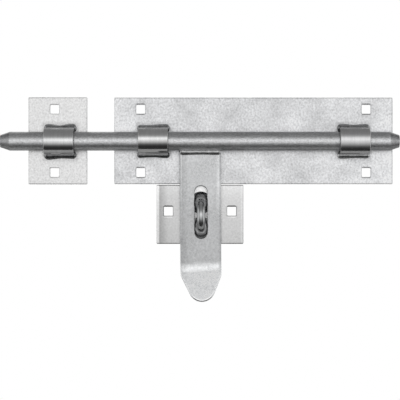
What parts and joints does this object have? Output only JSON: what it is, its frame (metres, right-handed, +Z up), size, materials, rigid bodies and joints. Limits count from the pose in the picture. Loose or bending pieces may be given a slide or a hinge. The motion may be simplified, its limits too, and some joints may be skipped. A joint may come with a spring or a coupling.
{
  "type": "padbolt",
  "caption": "Zinc-coated steel padbolt: a round bolt in U keepers on a long plate, a matching receiver, and a slotted hasp that drops over a staple for a padlock.",
  "frame": {"origin": "on the main plate's back face, level with the bolt and half way along the plate", "axes": "+X along the bolt, away from the receiver; +Y into the door; +Z up"},
  "size_m": [0.4, 0.038, 0.2057],
  "materials": {
    "plate_zinc": "pale mottled zinc coat on flat plate, satin",
    "strap_zinc": "smooth bright zinc coat on bent strap",
    "bolt_zinc": "smooth bright zinc coat on round bar, drawn along its length",
    "hasp_zinc": "pale mottled zinc coat on flat bar, satin",
    "weld_zinc": "glossy rippled weld bead under a zinc coat"
  },
  "bodies": {
    "plates": {"main_plate": "plate_zinc", "receiver_plate": "plate_zinc", "staple_plate": "plate_zinc", "left_keeper": "strap_zinc", "right_keeper": "strap_zinc", "receiver_keeper": "strap_zinc", "left_keeper_upper_weld": "weld_zinc", "left_keeper_lower_weld": "weld_zinc", "right_keeper_upper_weld": "weld_zinc", "right_keeper_lower_weld": "weld_zinc", "receiver_keeper_upper_weld": "weld_zinc", "receiver_keeper_lower_weld": "weld_zinc", "staple": "bolt_zinc", "staple_upper_weld": "weld_zinc", "staple_lower_weld": "weld_zinc"},
    "bolt": {"bolt_rod": "bolt_zinc"},
    "hasp": {"hasp": "hasp_zinc", "hasp_front_weld": "weld_zinc", "hasp_back_weld": "weld_zinc"}
  },
  "joints": [
    {"name": "bolt_slide", "type": "slide", "parent": "plates", "child": "bolt", "axis": [1, 0, 0], "range_m": [-0.002, 0.002]},
    {"name": "hasp_turn", "type": "hinge", "parent": "bolt", "child": "hasp", "pos_m": [-0.054, -0.014, 0], "axis": [-1, 0, 0], "range_deg": [0, 182]}
  ]
}
